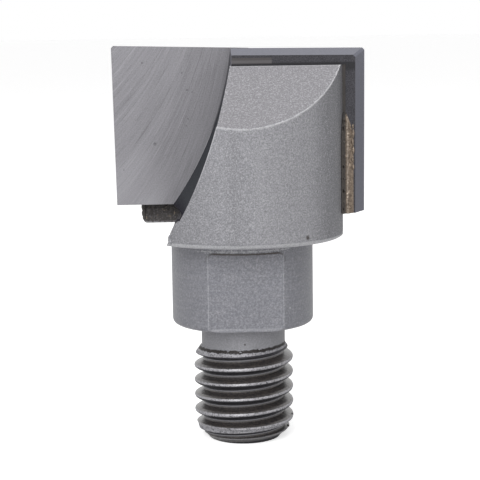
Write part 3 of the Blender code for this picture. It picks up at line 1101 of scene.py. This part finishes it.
LUMP_GROUPS = (
    Lumps("braze_run_left", FLUX_SPATTER, (
        Drop((-9.64, 3.34, 22.98), (0.28, 0.36, 0.55)), Drop((-9.63, 3.36, 22.35), (0.26, 0.36, 0.60)),
        Drop((-9.60, 3.32, 21.90), (0.22, 0.32, 0.34)), Drop((-6.42, 2.40, 21.25), (0.15, 0.70, 0.26)))),
    Lumps("braze_edge_right", FILLER_SPATTER, (
        Drop((10.71, -3.06, 31.15), (0.07, 0.07, 0.22)), Drop((10.73, -3.07, 30.45), (0.11, 0.09, 0.42)),
        Drop((10.72, -3.07, 29.60), (0.10, 0.08, 0.36)), Drop((10.74, -3.07, 28.85), (0.11, 0.09, 0.40)),
        Drop((10.71, -3.06, 27.95), (0.09, 0.08, 0.38)), Drop((10.72, -3.07, 27.20), (0.10, 0.08, 0.30)),
        Drop((10.02, -3.46, 31.80), (0.07, 0.07, 0.30)))),
    Lumps("braze_flecks_left", GOLD_SPATTER, (
        Drop((-7.56, 3.08, 22.62), (0.18, 0.05, 0.05)), Drop((-7.80, 3.08, 22.74), (0.09, 0.04, 0.04)),
        Drop((-9.42, 3.07, 21.88), (0.05, 0.04, 0.14)), Drop((-6.62, 3.08, 22.35), (0.04, 0.04, 0.20)))),
    Lumps("casting_flash", STEEL_SPATTER, (
        Drop((-7.20, -7.15, 21.10), (0.15, 0.18, 0.42), 45.0),
        Drop((-7.10, -7.25, 20.85), (0.12, 0.18, 0.24), 45.0))),
    Lumps("thread_burrs", STEEL_SPATTER, (
        Drop((-0.49, -4.28, 9.42), (0.13, 0.07, 0.06)), Drop((-1.72, -3.93, 9.44), (0.12, 0.08, 0.05), -23.0),
        Drop((1.35, -4.10, 9.62), (0.10, 0.07, 0.05), 18.0))),
    Lumps("burnt_burr", FLUX_SPATTER, (
        Drop((4.34, -0.70, 1.00), (0.12, 0.26, 0.13)), Drop((4.76, -0.95, 2.28), (0.10, 0.16, 0.08)))),
)


@dataclass(frozen=True)
class Lamp:
    """A soft square lamp: its name, its place and side in metres, and its power in watts."""

    name: str
    place: tuple[float, float, float]
    size: float
    power: float


LAMPS = (
    Lamp("key", (-0.12, -0.36, 0.24), 0.24, 1.35),
    Lamp("fill", (0.34, -0.20, 0.16), 0.20, 0.05),
    Lamp("top", (0.02, 0.05, 0.40), 0.25, 0.4),
)


@dataclass
class Studio:
    """Camera, lamps, white surround and pale floor; lengths in metres, angles in degrees."""

    distance: float = 151.2 * MM
    height: float = 41.784 * MM
    pitch: float = 8.253
    roll: float = -0.8
    yaw: float = -0.075
    turn: float = -3.0
    focal_px: float = 1539.8
    image_px: float = 480.0
    sensor_mm: float = 36.0
    near_clip: float = 0.01
    far_clip: float = 10.0
    centre: tuple[float, float, float] = (0.0, 0.0, 0.022)
    ambient: float = 0.34
    white: Colour = (1.0, 1.0, 1.0)
    floor_size: float = 6.0
    floor_colour: Colour = (0.86, 0.86, 0.86)
    floor_roughness: float = 0.9
    floor_glow: float = 0.62

    def camera(self) -> bpy.types.Object:
        """Place the camera at the photograph's viewpoint.

        Returns:
            The camera.
        """
        pitch, roll, yaw = (math.radians(angle) for angle in (self.pitch, self.roll, self.yaw))
        forward = Vector((math.sin(yaw) * math.cos(pitch), math.cos(yaw) * math.cos(pitch), -math.sin(pitch)))
        right = Vector((math.cos(yaw), -math.sin(yaw), 0.0))
        up = right.cross(forward)
        rolled_right = right * math.cos(roll) + up * math.sin(roll)
        rolled_up = up * math.cos(roll) - right * math.sin(roll)
        axes = Matrix((rolled_right, rolled_up, -forward)).transposed()
        spin = Matrix.Rotation(math.radians(self.turn), 3, "Z")
        data = bpy.data.cameras.new("camera")
        data.sensor_width = self.sensor_mm
        data.lens = self.sensor_mm * self.focal_px / self.image_px
        data.clip_start = self.near_clip
        data.clip_end = self.far_clip
        camera = bpy.data.objects.new("camera", data)
        bpy.context.scene.collection.objects.link(camera)
        camera.matrix_world = (spin @ axes).to_4x4()
        camera.location = spin @ Vector((0.0, -self.distance, self.height))
        bpy.context.scene.camera = camera
        return camera

    def hang(self, lamp: Lamp) -> bpy.types.Object:
        """Hang a lamp that points at the object's middle.

        Args:
            lamp: the lamp.

        Returns:
            Its object.
        """
        data = bpy.data.lights.new(lamp.name, "AREA")
        data.shape = "SQUARE"
        data.size = lamp.size
        data.energy = lamp.power
        hung = bpy.data.objects.new(lamp.name, data)
        bpy.context.scene.collection.objects.link(hung)
        hung.location = lamp.place
        aim = Vector(self.centre) - Vector(lamp.place)
        hung.rotation_euler = aim.to_track_quat("-Z", "Y").to_euler()
        return hung

    def surround(self) -> None:
        """Light the world softly, and show it white to the eye and in reflections."""
        world = bpy.data.worlds.new("surround")
        world.use_nodes = True
        bpy.context.scene.world = world
        nodes = Nodes(world.node_tree)
        rays = nodes.node("ShaderNodeLightPath")
        camera, glossy, through = (Value(nodes, rays.outputs[f"Is {kind} Ray"])
                                   for kind in ("Camera", "Glossy", "Transmission"))
        seen = camera.greater(glossy).greater(through)
        background = world.node_tree.nodes["Background"]
        nodes.feed(background.inputs["Color"], self.white)
        nodes.feed(background.inputs["Strength"], seen * (1.0 - self.ambient) + self.ambient)

    def floor(self) -> bpy.types.Object:
        """Lay the pale floor that the bit stands on.

        Returns:
            The floor.
        """
        bpy.ops.object.select_all(action="DESELECT")
        bpy.ops.mesh.primitive_plane_add(size=self.floor_size, location=(0.0, 0.0, 0.0))
        floor = bpy.context.object
        floor.name = "floor"
        sh = Shader("pale_floor")
        eye = Value(sh, sh.node("ShaderNodeLightPath").outputs["Is Camera Ray"])
        glow = sh.node("ShaderNodeEmission", None, {"Color": self.white, "Strength": eye * self.floor_glow})
        both = sh.node("ShaderNodeAddShader", None, {0: sh.bsdf.outputs[0], 1: glow.outputs[0]})
        sh.feed(sh.surface, both.outputs[0])
        floor.data.materials.append(sh.finish(Base_Color=self.floor_colour, Roughness=self.floor_roughness))
        return floor

    def build(self) -> None:
        """Set the whole studio up."""
        self.camera()
        self.surround()
        self.floor()
        for lamp in LAMPS:
            self.hang(lamp)
        bpy.context.scene.view_settings.view_transform = "Standard"
        log.info("studio: %d lamps", len(LAMPS))


@dataclass
class RouterBit:
    """The whole bit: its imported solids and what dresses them."""

    steel: HeadSteel = HeadSteel()
    carbide: GroundCarbide = GroundCarbide()
    filler: BrazeFiller = BrazeFiller()

    def dress(self, node: str, material: bpy.types.Material) -> None:
        """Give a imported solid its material.

        Args:
            node: the solid's name.
            material: its material.
        """
        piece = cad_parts[node]
        piece.data.materials.clear()
        piece.data.materials.append(material)
        log.info("dressed %s", node)

    def build(self) -> None:
        """Dress every solid."""
        self.dress("steel_body", self.steel.material())
        for side in Side:
            self.dress("carbide_plate_" + side.name.lower(), self.carbide.material(side))
        filler = self.filler.material()
        for side in Side:
            self.dress("braze_layer_" + side.name.lower(), filler)
            BeadCrust(side).build(filler)
        for group in LUMP_GROUPS:
            group.build()


def main() -> None:
    """Build the looks of the router bit."""
    RouterBit().build()
    Studio().build()


if __name__ == "__main__":
    main()
